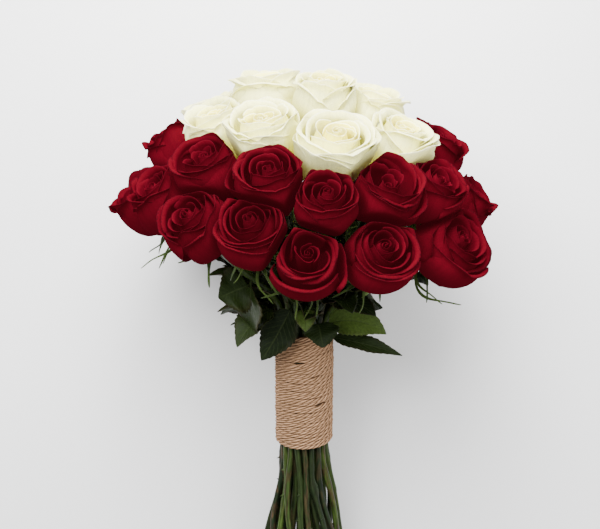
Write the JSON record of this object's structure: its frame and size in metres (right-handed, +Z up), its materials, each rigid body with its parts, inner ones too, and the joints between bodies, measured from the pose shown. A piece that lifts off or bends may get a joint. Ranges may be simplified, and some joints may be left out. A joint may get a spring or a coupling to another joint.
{
  "type": "hand-tied bunch of roses",
  "caption": "Round hand-tied bunch of cut roses, deep red round a cream-white middle, stems bound with jute twine, lying on its side.",
  "frame": {"origin": "on the surface that the bunch lies on, under the middle of its bounding box", "axes": "+Z up, away from the surface; +Y along the bunch from the cut ends towards the blooms; +X to the right seen from above with the blooms at the top"},
  "size_m": [0.3214, 0.465, 0.3081],
  "materials": {
    "red_petals": "velvety deep red petals, a little sheen at their edges",
    "cream_petals": "matt cream-white petals, yellower towards the heart",
    "greenery": "satin dark green stems, sepals and leaves",
    "twine": "dry twisted jute fibre"
  },
  "bodies": {
    "root": {"red_rose_01": "red_petals", "red_rose_02": "red_petals", "red_rose_03": "red_petals", "red_rose_04": "red_petals", "red_rose_05": "red_petals", "red_rose_06": "red_petals", "red_rose_07": "red_petals", "red_rose_08": "red_petals", "red_rose_09": "red_petals", "red_rose_10": "red_petals", "red_rose_11": "red_petals", "red_rose_12": "red_petals", "red_rose_13": "red_petals", "red_rose_14": "red_petals", "red_rose_15": "red_petals", "red_rose_16": "red_petals", "red_rose_17": "red_petals", "red_rose_18": "red_petals", "red_rose_19": "red_petals", "red_rose_20": "red_petals", "red_rose_21": "red_petals", "red_rose_22": "red_petals", "red_rose_23": "red_petals", "red_rose_24": "red_petals", "red_rose_25": "red_petals", "red_rose_26": "red_petals", "white_rose_01": "cream_petals", "white_rose_02": "cream_petals", "white_rose_03": "cream_petals", "white_rose_04": "cream_petals", "white_rose_05": "cream_petals", "white_rose_06": "cream_petals", "white_rose_07": "cream_petals", "white_rose_08": "cream_petals", "white_rose_09": "cream_petals", "white_rose_10": "cream_petals", "stems_and_leaves_01": "greenery", "stems_and_leaves_02": "greenery", "stems_and_leaves_03": "greenery", "stems_and_leaves_04": "greenery", "stems_and_leaves_05": "greenery", "stems_and_leaves_06": "greenery", "stems_and_leaves_07": "greenery", "stems_and_leaves_08": "greenery", "stems_and_leaves_09": "greenery", "stems_and_leaves_10": "greenery", "stems_and_leaves_11": "greenery", "stems_and_leaves_12": "greenery", "stems_and_leaves_13": "greenery", "stems_and_leaves_14": "greenery", "stems_and_leaves_15": "greenery", "stems_and_leaves_16": "greenery", "stems_and_leaves_17": "greenery", "stems_and_leaves_18": "greenery", "twine_wrap": "twine"}
  },
  "joints": []
}
